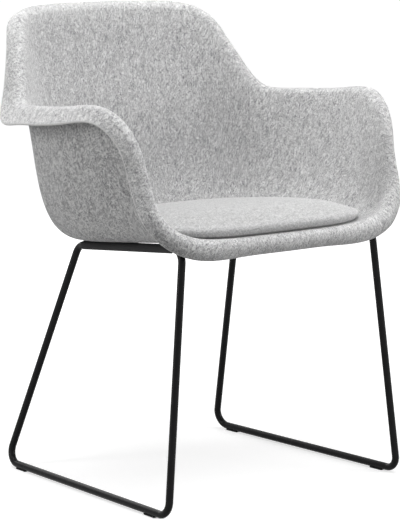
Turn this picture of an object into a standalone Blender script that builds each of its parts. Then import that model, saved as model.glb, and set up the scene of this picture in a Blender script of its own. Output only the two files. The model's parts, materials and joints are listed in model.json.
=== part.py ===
"""Felt tub chair: a moulded felt bucket with a loose seat pad on two round-bar sled loops.

Metres, +Z up. The chair faces -Y and X = 0 is its plane of symmetry. Left and right are
the sitter's. The origin is on the floor, under the middle of the chair's overall depth.
"""
import math

import bmesh
import bpy
import numpy as np
from mathutils import Matrix, Vector

# Gap left between two pieces that touch
TOUCH = 0.0003

# Sled loops: one round bar bent into runner, front leg, top rail and raked rear leg
BAR_D = 0.012
BAR_BEND_R = 0.022
RUNNER_FRONT_Y = -0.228
RUNNER_REAR_Y = 0.228
RUNNER_FRONT_HALF = 0.2411
RUNNER_REAR_HALF = 0.2273
RAIL_FRONT_Y = -0.2074
RAIL_REAR_Y = 0.1012
RAIL_FRONT_HALF = 0.1966
RAIL_REAR_HALF = 0.1674
RAIL_FRONT_RISE = 0.4085
RAIL_REAR_RISE = 0.377

# Floor glides, low shoes under the runner
GLIDE_SOLE = 0.0012
GLIDE_SOLE_HALF = 0.0042
GLIDE_FLANK_HALF = 0.0052
GLIDE_FLANK_Z = -0.0052
GLIDE_GRIP = math.radians(44)
GLIDE_LENGTH = 0.026
GLIDE_INSET = 0.046

# Sleeves clipped over the top rails
SLEEVE_WALL = 0.001
SLEEVE_END_MARGIN = 0.003
SLEEVE_OPEN_FROM = math.radians(-110)
SLEEVE_OPEN_TO = math.radians(35)

# Straps welded between the rails
STRAP_WIDTH = 0.028
STRAP_T = 0.004
STRAP_FRONT_Y = -0.125
STRAP_REAR_Y = 0.045

# Screws through strap and spacer into inserts in the shell
SCREW_SPAN = 0.240
SCREW_D = 0.006
SCREW_HEAD_D = 0.011
SCREW_HEAD_T = 0.0035
SCREW_SOCKET = 0.004
SCREW_PLAY = 0.0004
SCREW_TIP_COVER = 0.0012
WASHER_D = 0.015
WASHER_T = 0.0012
SPACER_D = 0.018
INSERT_BARREL_D = 0.0092
INSERT_FLANGE_D = 0.020
INSERT_FLANGE_T = 0.0012

# Felt bucket
WALL = 0.007
TRIM_T = 0.004
CENTRE_Y = -0.015
FLOOR_HALF = 0.1815
FLOOR_FRONT = 0.158
FLOOR_REAR = 0.145
FLOOR_FRONT_POWER = 7.0
FLOOR_REAR_POWER = 2.95
FRONT_HALF = 0.217
ARM_HALF = 0.272
BACK_HALF = 0.178
FRONT_Y = -0.2185
NOSE_Y = -0.142
VALLEY_Y = 0.135
BACK_Y = 0.252
FRONT_RISE = -0.0024
ARM_RISE = 0.2035
BACK_RISE = 0.3715
FRONT_ROLL_R = 0.017
ARM_ROLL_R = 0.013
BACK_ROLL_R = 0.018
FRONT_ROLL_TURN = 150.0
ARM_ROLL_TURN = 135.0
BACK_ROLL_TURN = 112.0
FRONT_LIP = 0.003
ARM_LIP = 0.023
VALLEY_LIP = 0.037
BACK_LIP = 0.011

# Seat pad: a felt cover lapped under a foam core, closed by a felt base sheet
PAD_HALF = 0.2095
PAD_FRONT_Y = -0.2215
PAD_REAR_Y = 0.162
PAD_FRONT_POWER = 4.7
PAD_REAR_POWER = 2.5
PAD_CENTRE_T = 0.043
PAD_FRONT_T = 0.020
PAD_SIDE_T = 0.015
PAD_REAR_T = 0.018
PAD_CROWN_POWER = 4.2
PAD_CLIMB = 0.010
PAD_COVER_T = 0.0022
PAD_BASE_T = 0.0018
PAD_LAP = 0.018
PAD_REST = 0.0006

# Fineness of the round and the lofted pieces
BUCKET_COLUMNS = 72
BUCKET_FLOOR_ROWS = 3
BUCKET_WALL_ROWS = 11
BUCKET_ROLL_ROWS = 5
BUCKET_LIP_ROWS = 2
PAD_COLUMNS = 36
PAD_UNDER_ROWS = (0.35, 0.62, 0.8, 0.9, 1.0)
BAR_SIDES = 16
TURNED_SIDES = 16

BAR_R = BAR_D / 2
SLEEVE_R = BAR_R + TOUCH + SLEEVE_WALL
RUNNER_Z = GLIDE_SOLE + TOUCH + BAR_R
RAIL_FRONT_Z = RUNNER_Z + RAIL_FRONT_RISE
RAIL_REAR_Z = RUNNER_Z + RAIL_REAR_RISE
SEAT_SLOPE = (RAIL_REAR_Z - RAIL_FRONT_Z) / (RAIL_REAR_Y - RAIL_FRONT_Y)
SEAT_TILT = math.atan(SEAT_SLOPE)
RAIL_DROP = WALL + TOUCH + SLEEVE_R
SEAT_Z = RAIL_FRONT_Z - SEAT_SLOPE * RAIL_FRONT_Y + RAIL_DROP / math.cos(SEAT_TILT)
SPACER_TOP = -WALL - TOUCH
STRAP_TOP = -RAIL_DROP + STRAP_T / 2
STRAP_BOTTOM = -RAIL_DROP - STRAP_T / 2


def seat_z(y):
    """Height of the bucket's flat floor, on its inside, at depth y."""
    return SEAT_Z + SEAT_SLOPE * y


def mix(a, b, t):
    return a + (b - a) * t


def unit(v):
    return v / np.linalg.norm(v, axis=-1, keepdims=True)


# Ribs of the bucket's rim, from the middle of the front to the middle of the back.
# Each holds the crest of the lip, as x, y and its rise over the floor's plane, then how
# far the wall leans out there, the roll's radius and turn, the lip past it, and how
# stiffly the wall leaves the floor and meets the crest.
def rim_ribs():
    def across(t):
        return mix(FRONT_HALF, ARM_HALF, t)

    def inward(t):
        return mix(ARM_HALF, BACK_HALF, t)

    def arm(t):
        return mix(FRONT_RISE, ARM_RISE, t)

    def back(t):
        return mix(ARM_RISE, BACK_RISE, t)

    front_to_nose = NOSE_Y - FRONT_Y
    nose_to_valley = VALLEY_Y - NOSE_Y
    valley_to_back = BACK_Y - VALLEY_Y
    arm_r, front_r, back_r = ARM_ROLL_R, FRONT_ROLL_R, BACK_ROLL_R
    arm_a, front_a, back_a = ARM_ROLL_TURN, FRONT_ROLL_TURN, BACK_ROLL_TURN
    return [
        (0.0, FRONT_Y, arm(-0.019), 84, front_r * 0.88, front_a, FRONT_LIP, 0.030, 0.030),
        (FRONT_HALF * 0.41, FRONT_Y, arm(-0.017), 84, front_r * 0.9, front_a, FRONT_LIP, 0.030, 0.030),
        (FRONT_HALF * 0.78, FRONT_Y + front_to_nose * 0.02, arm(0.008), 76, front_r, front_a,
         mix(FRONT_LIP, ARM_LIP, 0.1), 0.030, 0.030),
        (FRONT_HALF, FRONT_Y + front_to_nose * 0.13, arm(0.096), 50, mix(front_r, arm_r, 0.35),
         mix(front_a, arm_a, 0.2), mix(FRONT_LIP, ARM_LIP, 0.33), 0.050, 0.032),
        (across(0.37), FRONT_Y + front_to_nose * 0.25, arm(0.246), 28, mix(front_r, arm_r, 0.67),
         mix(front_a, arm_a, 0.67), mix(FRONT_LIP, ARM_LIP, 0.43), 0.076, 0.044),
        (across(0.51), FRONT_Y + front_to_nose * 0.48, arm(0.535), 18, arm_r, arm_a,
         mix(FRONT_LIP, ARM_LIP, 0.53), 0.080, 0.065),
        (across(0.61), FRONT_Y + front_to_nose * 0.69, arm(0.735), 15, arm_r, arm_a,
         mix(FRONT_LIP, ARM_LIP, 0.62), 0.078, 0.075),
        (across(0.76), NOSE_Y, arm(0.893), 14, arm_r, arm_a,
         mix(FRONT_LIP, ARM_LIP, 0.75), 0.070, 0.080),
        (across(0.91), NOSE_Y + nose_to_valley * 0.125, arm(0.99), 13, arm_r, arm_a,
         mix(FRONT_LIP, ARM_LIP, 0.85), 0.068, 0.085),
        (ARM_HALF, NOSE_Y + nose_to_valley * 0.375, arm(1.004), 13, arm_r, arm_a,
         ARM_LIP, 0.066, 0.085),
        (inward(0.064), NOSE_Y + nose_to_valley * 0.69, back(0.023), 14, arm_r, arm_a,
         mix(ARM_LIP, VALLEY_LIP, 0.15), 0.066, 0.085),
        (inward(0.213), NOSE_Y + nose_to_valley * 0.905, back(0.048), 15, arm_r, arm_a,
         mix(ARM_LIP, VALLEY_LIP, 0.45), 0.070, 0.088),
        (inward(0.315), VALLEY_Y, back(0.108), 16, arm_r, mix(arm_a, back_a, 0.3),
         VALLEY_LIP, 0.086, 0.092),
        (inward(0.479), VALLEY_Y + valley_to_back * 0.215, back(0.322), 16, arm_r,
         mix(arm_a, back_a, 0.83), mix(VALLEY_LIP, BACK_LIP, 0.45), 0.090, 0.098),
        (inward(0.628), VALLEY_Y + valley_to_back * 0.4, back(0.544), 15, arm_r, back_a,
         mix(VALLEY_LIP, BACK_LIP, 0.76), 0.092, 0.105),
        (inward(0.777), VALLEY_Y + valley_to_back * 0.57, back(0.748), 13,
         mix(arm_r, back_r, 0.2), back_a, mix(VALLEY_LIP, BACK_LIP, 0.94), 0.086, 0.112),
        (BACK_HALF, VALLEY_Y + valley_to_back * 0.75, back(0.909), 11,
         mix(arm_r, back_r, 0.6), back_a, BACK_LIP, 0.088, 0.120),
        (BACK_HALF * 0.742, VALLEY_Y + valley_to_back * 0.9, back(0.978), 10,
         back_r, back_a, BACK_LIP, 0.090, 0.125),
        (BACK_HALF * 0.371, VALLEY_Y + valley_to_back * 0.975, back(0.995), 10,
         back_r, back_a, BACK_LIP, 0.090, 0.125),
        (0.0, BACK_Y, BACK_RISE, 10, back_r, back_a, BACK_LIP, 0.090, 0.125),
    ]


class RimSpline:
    """Smooth closed cubic spline through the ribs, with its tangents."""

    def __init__(self, points, knots):
        self.y = points
        self.s = knots
        h = np.diff(knots)
        m = len(h)
        a = np.zeros((m, m))
        b = np.zeros((m, points.shape[1]))
        for i in range(m):
            before, after = (i - 1) % m, (i + 1) % m
            a[i, before] += h[before]
            a[i, i] += 2 * (h[before] + h[i])
            a[i, after] += h[i]
            rise = (points[i + 1] - points[i]) / h[i]
            run = (points[before + 1] - points[before]) / h[before]
            b[i] = 6 * (rise - run)
        bend = np.linalg.solve(a, b)
        self.m = np.vstack([bend, bend[:1]])

    def at(self, t):
        i = np.clip(np.searchsorted(self.s, t, side="right") - 1, 0, len(self.s) - 2)
        h = (self.s[i + 1] - self.s[i])[:, None]
        p = (self.s[i + 1] - t)[:, None]
        q = (t - self.s[i])[:, None]
        m0, m1, y0, y1 = self.m[i], self.m[i + 1], self.y[i], self.y[i + 1]
        value = m0 * p ** 3 / (6 * h) + m1 * q ** 3 / (6 * h)
        value += (y0 / h - m0 * h / 6) * p + (y1 / h - m1 * h / 6) * q
        slope = -m0 * p ** 2 / (2 * h) + m1 * q ** 2 / (2 * h)
        slope += (y1 - y0) / h - (m1 - m0) * h / 6
        return value, slope


def rim_columns(count):
    """Ribs spaced evenly along the crest, and the crest's direction at each."""
    half = np.array(rim_ribs(), float)
    half[:, 2] += seat_z(half[:, 1])
    mirror = np.array([-1] + [1] * 8, float)
    ring = np.vstack([half, half[-2:0:-1] * mirror])
    closed = np.vstack([ring, ring[:1]])
    step = np.linalg.norm(np.diff(closed[:, :3], axis=0), axis=1) ** 0.6
    knots = np.concatenate([[0.0], np.cumsum(step)])
    spline = RimSpline(closed, knots)
    fine = np.linspace(0.0, knots[-1], 4001)
    crest = spline.at(fine)[0][:, :3]
    along = np.concatenate([[0.0], np.cumsum(np.linalg.norm(np.diff(crest, axis=0), axis=1))])
    even = np.interp(np.arange(count) / count * along[-1], along, fine)
    value, slope = spline.at(even)
    return value, unit(slope[:, :3])


def outline(direction, half, front, rear, front_power, rear_power):
    """Reach from the centre to a rounded four-sided outline in each direction."""
    angle = np.arctan2(direction[:, 1], direction[:, 0])
    depth = np.where(direction[:, 1] < 0, front, rear)
    power = np.where(direction[:, 1] < 0, front_power, rear_power)
    return (np.abs(np.cos(angle) / half) ** power
            + np.abs(np.sin(angle) / depth) ** power) ** (-1 / power)


def bucket_rows(count, floor_rows, wall_rows, roll_rows, lip_rows):
    """Inside face of the bucket as rows of rings, from the floor's middle to the trim."""
    rib, tangent = rim_columns(count)
    crest = rib[:, :3]
    centre = np.array([0.0, CENTRE_Y, seat_z(CENTRE_Y)])
    out = unit(crest[:, :2] - centre[:2])
    out3 = np.column_stack([out, np.zeros(count)])
    lean = np.radians(rib[:, 3:4])
    up = np.array([0.0, 0.0, 1.0])
    climb = out3 * np.sin(lean) + up * np.cos(lean)
    along = unit(climb - (climb * tangent).sum(1, keepdims=True) * tangent)
    away = unit(np.cross(tangent, along))
    inward = ((out3 * np.cos(lean) - up * np.sin(lean)) * away).sum(1) < 0
    away[inward] *= -1
    roll, turn, lip = rib[:, 4:5], np.radians(rib[:, 5:6]), rib[:, 6:7]
    leave, meet = rib[:, 7:8], rib[:, 8:9]
    reach = outline(out, FLOOR_HALF, FLOOR_FRONT, FLOOR_REAR, FLOOR_FRONT_POWER, FLOOR_REAR_POWER)
    foot_xy = centre[:2] + out * reach[:, None]
    foot = np.column_stack([foot_xy, seat_z(foot_xy[:, 1])])
    rows = [centre + (foot - centre) * k / floor_rows for k in range(1, floor_rows)]
    knee = foot + unit(foot - centre) * leave
    neck = crest - climb * meet
    for k in range(wall_rows + 1):
        u = k / wall_rows
        rows.append(foot * (1 - u) ** 3 + 3 * knee * u * (1 - u) ** 2
                    + 3 * neck * u * u * (1 - u) + crest * u ** 3)
    top = len(rows) - 1
    for k in range(1, roll_rows + 1):
        a = turn * k / roll_rows
        rows.append(crest + roll * np.sin(a) * along + roll * (1 - np.cos(a)) * away)
    end = rows[-1]
    run = np.cos(turn) * along + np.sin(turn) * away
    rows += [end + run * lip * k / lip_rows for k in range(1, lip_rows + 1)]
    return np.stack(rows), top, centre, away


def face_normals(grid):
    """Unit normals of a grid of rings, square to the mean of the two edges at each point."""
    step = unit(np.diff(grid, axis=0))
    down = np.concatenate([step[:1], step[:-1] + step[1:], step[-1:]])
    round_ = np.roll(grid, -1, axis=1) - np.roll(grid, 1, axis=1)
    return unit(np.cross(down, round_))


# Bodies are made at the real place, then the parents carry them to the chair's origin
def material(name, colour, roughness, metallic=0.0):
    mat = bpy.data.materials.new(name)
    mat.use_nodes = True
    shader = mat.node_tree.nodes["Principled BSDF"]
    shader.inputs["Base Color"].default_value = (*colour, 1.0)
    shader.inputs["Roughness"].default_value = roughness
    shader.inputs["Metallic"].default_value = metallic
    mat.diffuse_color = (*colour, 1.0)
    return mat


def place(name, data, mat, parent, location=(0, 0, 0), rotation=(0, 0, 0)):
    obj = bpy.data.objects.new(name, data)
    bpy.context.collection.objects.link(obj)
    obj.parent = parent
    obj.location = location
    obj.rotation_euler = rotation
    if mat is not None:
        data.materials.append(mat)
    return obj


def empty(name, parent=None, location=(0, 0, 0), rotation=(0, 0, 0)):
    obj = place(name, None, None, parent, location, rotation)
    obj.empty_display_size = 0.05
    return obj


def finish(name, bm, smooth=35.0):
    bmesh.ops.recalc_face_normals(bm, faces=bm.faces)
    if bm.calc_volume(signed=True) < 0:
        bmesh.ops.reverse_faces(bm, faces=bm.faces)
    mesh = bpy.data.meshes.new(name)
    bm.to_mesh(mesh)
    bm.free()
    mesh.shade_smooth()
    mesh.set_sharp_from_angle(angle=math.radians(smooth))
    return mesh


def ring_body(name, rows, first, last, back):
    """Closed body from rings in order, closed by a point at each end.

    From ring number back on, the rings return along the first ones, and their diagonals
    are swapped so that both faces of a wall fold along the same lines.
    """
    bm = bmesh.new()
    rings = [[bm.verts.new(p) for p in row] for row in rows]
    for i, (a, b) in enumerate(zip(rings[:-1], rings[1:])):
        for j in range(len(a)):
            k = (j + 1) % len(a)
            if i < back:
                bm.faces.new((a[j], a[k], b[k]))
                bm.faces.new((a[j], b[k], b[j]))
            else:
                bm.faces.new((a[j], a[k], b[j]))
                bm.faces.new((a[k], b[k], b[j]))
    for ring, point in ((rings[0], first), (rings[-1], last)):
        tip = bm.verts.new(point)
        for j in range(len(ring)):
            bm.faces.new((ring[j], ring[(j + 1) % len(ring)], tip))
    return finish(name, bm)


def turned(name, profile, sides=TURNED_SIDES):
    """Solid of revolution about Z from (radius, height) points in order."""
    bm = bmesh.new()
    verts = [bm.verts.new((r, 0.0, z)) for r, z in profile]
    edges = [bm.edges.new(pair) for pair in zip(verts[:-1], verts[1:])]
    if profile[0][0] > 0 and profile[-1][0] > 0:
        edges.append(bm.edges.new((verts[-1], verts[0])))
    bmesh.ops.spin(bm, geom=verts + edges, cent=(0, 0, 0), axis=(0, 0, 1),
                   angle=2 * math.pi, steps=sides, use_merge=True)
    bmesh.ops.remove_doubles(bm, verts=bm.verts, dist=1e-6)
    return finish(name, bm)


def extruded(name, section, length):
    """Prism along Y, centred on its origin, from (x, z) points in order."""
    bm = bmesh.new()
    face = bm.faces.new([bm.verts.new((x, -length / 2, z)) for x, z in section])
    grown = bmesh.ops.extrude_face_region(bm, geom=[face])
    moved = [v for v in grown["geom"] if isinstance(v, bmesh.types.BMVert)]
    bmesh.ops.translate(bm, verts=moved, vec=(0, length, 0))
    return finish(name, bm)


def cut(target, name, data, parent, location):
    """Cut a hole with a hidden cutter that stays in the file."""
    tool = place(name, data, None, parent, location)
    tool.hide_render = True
    tool.display_type = "WIRE"
    mod = target.modifiers.new(name, "BOOLEAN")
    mod.operation = "DIFFERENCE"
    mod.solver = "EXACT"
    mod.object = tool


def rod(radius, depth, sides=TURNED_SIDES):
    bm = bmesh.new()
    bmesh.ops.create_cone(bm, cap_ends=True, segments=sides, radius1=radius,
                          radius2=radius, depth=depth)
    return finish("rod", bm)


# Sled loops
def sled_path(side):
    """Corner points of one loop's centreline, joined by bends."""
    corners = [
        Vector((side * RUNNER_FRONT_HALF, RUNNER_FRONT_Y, RUNNER_Z)),
        Vector((side * RUNNER_REAR_HALF, RUNNER_REAR_Y, RUNNER_Z)),
        Vector((side * RAIL_REAR_HALF, RAIL_REAR_Y, RAIL_REAR_Z)),
        Vector((side * RAIL_FRONT_HALF, RAIL_FRONT_Y, RAIL_FRONT_Z)),
    ]
    path = []
    for i, corner in enumerate(corners):
        a = (corners[i - 1] - corner).normalized()
        b = (corners[(i + 1) % 4] - corner).normalized()
        half = a.angle(b) / 2
        centre = corner + (a + b).normalized() * BAR_BEND_R / math.sin(half)
        start = corner + a * BAR_BEND_R / math.tan(half)
        end = corner + b * BAR_BEND_R / math.tan(half)
        axis = (start - centre).cross(end - centre)
        sweep = math.pi - 2 * half
        steps = 10
        for k in range(steps + 1):
            turn = Matrix.Rotation(sweep * k / steps, 3, axis)
            path.append(centre + turn @ (start - centre))
    return path


def rail_tangents():
    """How much of the top rail its front and rear bends take."""
    path = sled_path(1)
    return path[33].y, path[32].y


def sled(name, side, mat, parent):
    curve = bpy.data.curves.new(name, "CURVE")
    curve.dimensions = "3D"
    curve.bevel_depth = BAR_R
    curve.bevel_resolution = BAR_SIDES // 2 - 2
    curve.use_fill_caps = True
    path = sled_path(side)
    spline = curve.splines.new("POLY")
    spline.points.add(len(path) - 1)
    for point, place_ in zip(spline.points, path):
        point.co = (*place_, 1.0)
    spline.use_cyclic_u = True
    spline.use_smooth = True
    return place(name, curve, mat, parent)


def rail_x(y):
    """Half width between the rails' centrelines at depth y."""
    t = (y - RAIL_FRONT_Y) / (RAIL_REAR_Y - RAIL_FRONT_Y)
    return mix(RAIL_FRONT_HALF, RAIL_REAR_HALF, t)


def sleeve(name, side, mat, parent):
    """Open sleeve round the rail's top and outer side, between its bends."""
    front_y, rear_y = rail_tangents()
    ends = []
    for y in (front_y + SLEEVE_END_MARGIN, rear_y - SLEEVE_END_MARGIN):
        ends.append(Vector((side * rail_x(y), y, seat_z(y) - RAIL_DROP / math.cos(SEAT_TILT))))
    along = (ends[1] - ends[0]).normalized()
    inner = Vector((-side, 0, 0))
    inner = (inner - inner.dot(along) * along).normalized()
    upper = inner.cross(along)
    if upper.z < 0:
        upper.negate()
    steps = 12
    span = 2 * math.pi + SLEEVE_OPEN_FROM - SLEEVE_OPEN_TO
    angles = [SLEEVE_OPEN_TO + span * k / steps for k in range(steps + 1)]
    section = [(SLEEVE_R, a) for a in angles] + [(BAR_R + TOUCH, a) for a in reversed(angles)]
    bm = bmesh.new()
    rings = []
    for end in ends:
        rings.append([bm.verts.new(end + inner * r * math.cos(a) + upper * r * math.sin(a))
                      for r, a in section])
    count = len(section)
    for i in range(count):
        j = (i + 1) % count
        bm.faces.new((rings[0][i], rings[0][j], rings[1][j], rings[1][i]))
    for ring in rings:
        for i in range(steps):
            bm.faces.new((ring[i], ring[i + 1], ring[count - 2 - i], ring[count - 1 - i]))
    return place(name, finish(name, bm), mat, parent)


def glide(name, side, y, mat, parent):
    """Low shoe under the runner, narrower than the bar, with a flat sole on the floor."""
    run = RUNNER_REAR_Y - RUNNER_FRONT_Y
    x = side * mix(RUNNER_FRONT_HALF, RUNNER_REAR_HALF, (y - RUNNER_FRONT_Y) / run)
    yaw = math.atan2(side * (RUNNER_FRONT_HALF - RUNNER_REAR_HALF), run)
    bore = BAR_R + TOUCH
    section = [(-GLIDE_FLANK_HALF, GLIDE_FLANK_Z), (-GLIDE_SOLE_HALF, -RUNNER_Z),
               (GLIDE_SOLE_HALF, -RUNNER_Z), (GLIDE_FLANK_HALF, GLIDE_FLANK_Z)]
    for k in range(9):
        a = GLIDE_GRIP * (1 - k / 4)
        section.append((bore * math.sin(a), -bore * math.cos(a)))
    return place(name, extruded(name, section, GLIDE_LENGTH), mat, parent,
                 (x, y, RUNNER_Z), (0, 0, yaw))


# Seat frame pieces: heights there are square to the bucket's floor, from its inside
def strap(name, y, mat, parent):
    """Flat strap between the rails, its ends cut along them, with two screw holes."""
    bm = bmesh.new()
    bmesh.ops.create_cube(bm, size=1.0)
    for v in bm.verts:
        depth = y + math.copysign(STRAP_WIDTH / 2, v.co.y)
        half = rail_x(depth) - BAR_R - TOUCH
        v.co = Vector((math.copysign(half, v.co.x), depth / math.cos(SEAT_TILT),
                       -RAIL_DROP + math.copysign(STRAP_T / 2, v.co.z)))
    obj = place(name, finish(name, bm), mat, parent)
    for side, tag in ((1, "left"), (-1, "right")):
        hole = rod(SCREW_D / 2 + SCREW_PLAY, STRAP_T * 3)
        cut(obj, name + "_hole_" + tag, hole, parent,
            (side * SCREW_SPAN / 2, y / math.cos(SEAT_TILT), -RAIL_DROP))
    return obj


def fastener(tag, x, y, mats, shell, parent):
    """Insert in the shell's floor, spacer, washer and screw on one axis."""
    at = (x, y / math.cos(SEAT_TILT), 0.0)
    bore = SCREW_D / 2 + SCREW_PLAY
    pocket = INSERT_FLANGE_T + 2 * TOUCH
    barrel_end = -WALL + TOUCH
    insert = turned("insert_" + tag, [
        (bore, -TOUCH), (INSERT_FLANGE_D / 2, -TOUCH), (INSERT_FLANGE_D / 2, -TOUCH - INSERT_FLANGE_T),
        (INSERT_BARREL_D / 2, -TOUCH - INSERT_FLANGE_T), (INSERT_BARREL_D / 2, barrel_end),
        (bore, barrel_end)])
    place("insert_" + tag, insert, mats["steel"], parent, at)
    cutter = turned("cutter_" + tag, [
        (0.0, WALL), (INSERT_FLANGE_D / 2 + TOUCH, WALL), (INSERT_FLANGE_D / 2 + TOUCH, -pocket),
        (INSERT_BARREL_D / 2 + TOUCH, -pocket), (INSERT_BARREL_D / 2 + TOUCH, -2 * WALL),
        (0.0, -2 * WALL)])
    cut(shell, "insert_seat_" + tag, cutter, parent, at)
    spacer = turned("spacer_" + tag, [
        (bore, SPACER_TOP), (SPACER_D / 2, SPACER_TOP), (SPACER_D / 2, STRAP_TOP + TOUCH),
        (bore, STRAP_TOP + TOUCH)])
    place("spacer_" + tag, spacer, mats["rubber"], parent, at)
    washer_top = STRAP_BOTTOM - TOUCH
    head_top = washer_top - WASHER_T - TOUCH
    washer = turned("washer_" + tag, [
        (bore, washer_top), (WASHER_D / 2, washer_top), (WASHER_D / 2, washer_top - WASHER_T),
        (bore, washer_top - WASHER_T)])
    place("washer_" + tag, washer, mats["steel"], parent, at)
    head_r, head_low = SCREW_HEAD_D / 2, head_top - SCREW_HEAD_T
    screw = place("screw_" + tag, turned("screw_" + tag, [
        (0.0, -SCREW_TIP_COVER), (SCREW_D / 2, -SCREW_TIP_COVER), (SCREW_D / 2, head_top),
        (head_r, head_top), (head_r, head_low + SCREW_HEAD_T * 0.45),
        (head_r * 0.72, head_low), (0.0, head_low)]), mats["steel"], parent, at)
    socket = rod(SCREW_SOCKET / math.sqrt(3), SCREW_HEAD_T * 1.1, 6)
    cut(screw, "socket_" + tag, socket, parent, (at[0], at[1], head_low))


# Seat pad on the bucket's own columns, so that its underside follows the floor
def pad_profile(rows, top, centre):
    """Pad section in each column as (reach, height) rows, with its directions and lap."""
    ribs = rows[:top + 1]
    flat = ribs[..., :2] - centre[:2]
    reach = np.linalg.norm(flat, axis=-1)
    columns = ribs.shape[1]
    step = columns // PAD_COLUMNS
    out = (flat[-1] / reach[-1][:, None])[::step]
    edge = outline(out, PAD_HALF, CENTRE_Y - PAD_FRONT_Y, PAD_REAR_Y - CENTRE_Y,
                   PAD_FRONT_POWER, PAD_REAR_POWER)
    rise = ribs[..., 2] - seat_z(ribs[..., 1])
    for j in range(len(edge)):
        k = j * step
        if rise[-1, k] > PAD_CLIMB:
            edge[j] = min(edge[j], np.interp(PAD_CLIMB, rise[:, k], reach[:, k]))

    def floor_at(column, rho):
        column %= columns
        return np.interp(rho, np.concatenate([[0.0], reach[:, column]]),
                         np.concatenate([[centre[2]], ribs[:, column, 2]]))

    def under(rho):
        """Rest height: just over the highest of the bucket's nearby columns."""
        z = [max(floor_at(j * step + k, r) for k in (-1, 0, 1))
             for j, r in enumerate(rho)]
        return np.array(z) + PAD_REST

    front = np.clip(-out[:, 1], 0, 1) ** 2
    rear = np.clip(out[:, 1], 0, 1) ** 2
    thick = PAD_SIDE_T + (PAD_FRONT_T - PAD_SIDE_T) * front + (PAD_REAR_T - PAD_SIDE_T) * rear
    round_ = thick * 0.6
    shoulder = edge - round_
    level = under(shoulder)
    profile = []
    for s in (0.2, 0.42, 0.64, 0.84, 1.0):
        rho = shoulder * s
        floor = seat_z(centre[1] + out[:, 1] * rho)
        shelf = level + thick - seat_z(centre[1] + out[:, 1] * shoulder)
        profile.append((rho, floor + PAD_CENTRE_T + (shelf - PAD_CENTRE_T) * s ** PAD_CROWN_POWER))
    for k in range(1, 6):
        a = math.pi / 2 - math.pi * k / 6
        draw = 1.0 if a >= 0 else 1.0 - 0.15 * math.sin(-a)
        rho = shoulder + round_ * math.cos(a) * draw
        low = under(rho)
        z = low + thick * 0.5 * (1 + math.sin(a)) - (low - level) * 0.5 * (1 + math.sin(a))
        profile.append((rho, z))
    lap = shoulder - PAD_LAP
    for rho in (shoulder, lap):
        profile.append((rho, under(rho)))
    return profile, out, under, lap


def pad_grid(profile, out, centre):
    rows = []
    for rho, z in profile:
        xy = centre[:2] + out * rho[:, None]
        rows.append(np.column_stack([xy, z]))
    return np.stack(rows)


def seat_pad(rows, top, centre, mats, parent):
    profile, out, under, lap = pad_profile(rows, top, centre)
    grid = pad_grid(profile, out, centre)
    normal = face_normals(grid)
    if normal[0, :, 2].mean() < 0:
        normal = -normal
    normal[-1] = (0.0, 0.0, -1.0)
    crown = np.array([centre[0], centre[1], centre[2] + PAD_CENTRE_T])
    inner = grid - normal * PAD_COVER_T
    cover = ring_body("pad_cover", list(grid) + list(inner[::-1]), crown,
                      crown - np.array((0, 0, PAD_COVER_T)), len(grid))
    place("pad_cover", cover, mats["pad_felt"], parent)

    core = grid - normal * (PAD_COVER_T + TOUCH)
    bed = PAD_COVER_T + TOUCH
    low = [(lap * t, under(lap * t) + bed) for t in PAD_UNDER_ROWS[-2::-1]]
    low_rows = pad_grid(low, out, centre)
    foam = ring_body("pad_foam", list(core) + list(low_rows),
                     crown - np.array((0, 0, PAD_COVER_T + TOUCH)),
                     centre + np.array((0, 0, PAD_REST + bed)), len(core) - 1)
    place("pad_foam", foam, mats["foam"], parent)

    sheet = [lap * t - TOUCH * (t == 1) for t in PAD_UNDER_ROWS]
    upper = pad_grid([(rho, under(rho) + PAD_BASE_T) for rho in sheet], out, centre)
    lower = pad_grid([(rho, under(rho)) for rho in sheet], out, centre)
    base = ring_body("pad_base", list(upper) + list(lower[::-1]),
                     centre + np.array((0, 0, PAD_REST + PAD_BASE_T)),
                     centre + np.array((0, 0, PAD_REST)), len(sheet))
    place("pad_base", base, mats["pad_felt"], parent)


def bucket(mat, parent):
    rows, top, centre, away = bucket_rows(BUCKET_COLUMNS, BUCKET_FLOOR_ROWS, BUCKET_WALL_ROWS,
                                          BUCKET_ROLL_ROWS, BUCKET_LIP_ROWS)
    normal = face_normals(rows)
    normal *= np.sign((normal[top] * away).sum(-1))[None, :, None]
    depth = np.full(len(rows), WALL)
    depth[top:] = np.linspace(WALL, TRIM_T, len(rows) - top)
    back = rows + normal * depth[:, None, None]
    under = centre + np.array((0, math.sin(SEAT_TILT), -math.cos(SEAT_TILT))) * WALL
    mesh = ring_body("felt_shell", list(rows) + list(back[::-1]), centre, under, len(rows))
    shell = place("felt_shell", mesh, mat, parent)
    both = np.concatenate([rows[..., 1].ravel(), back[..., 1].ravel()])
    middle = (both.min() + both.max()) / 2
    return shell, rows, top, centre, middle


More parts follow.
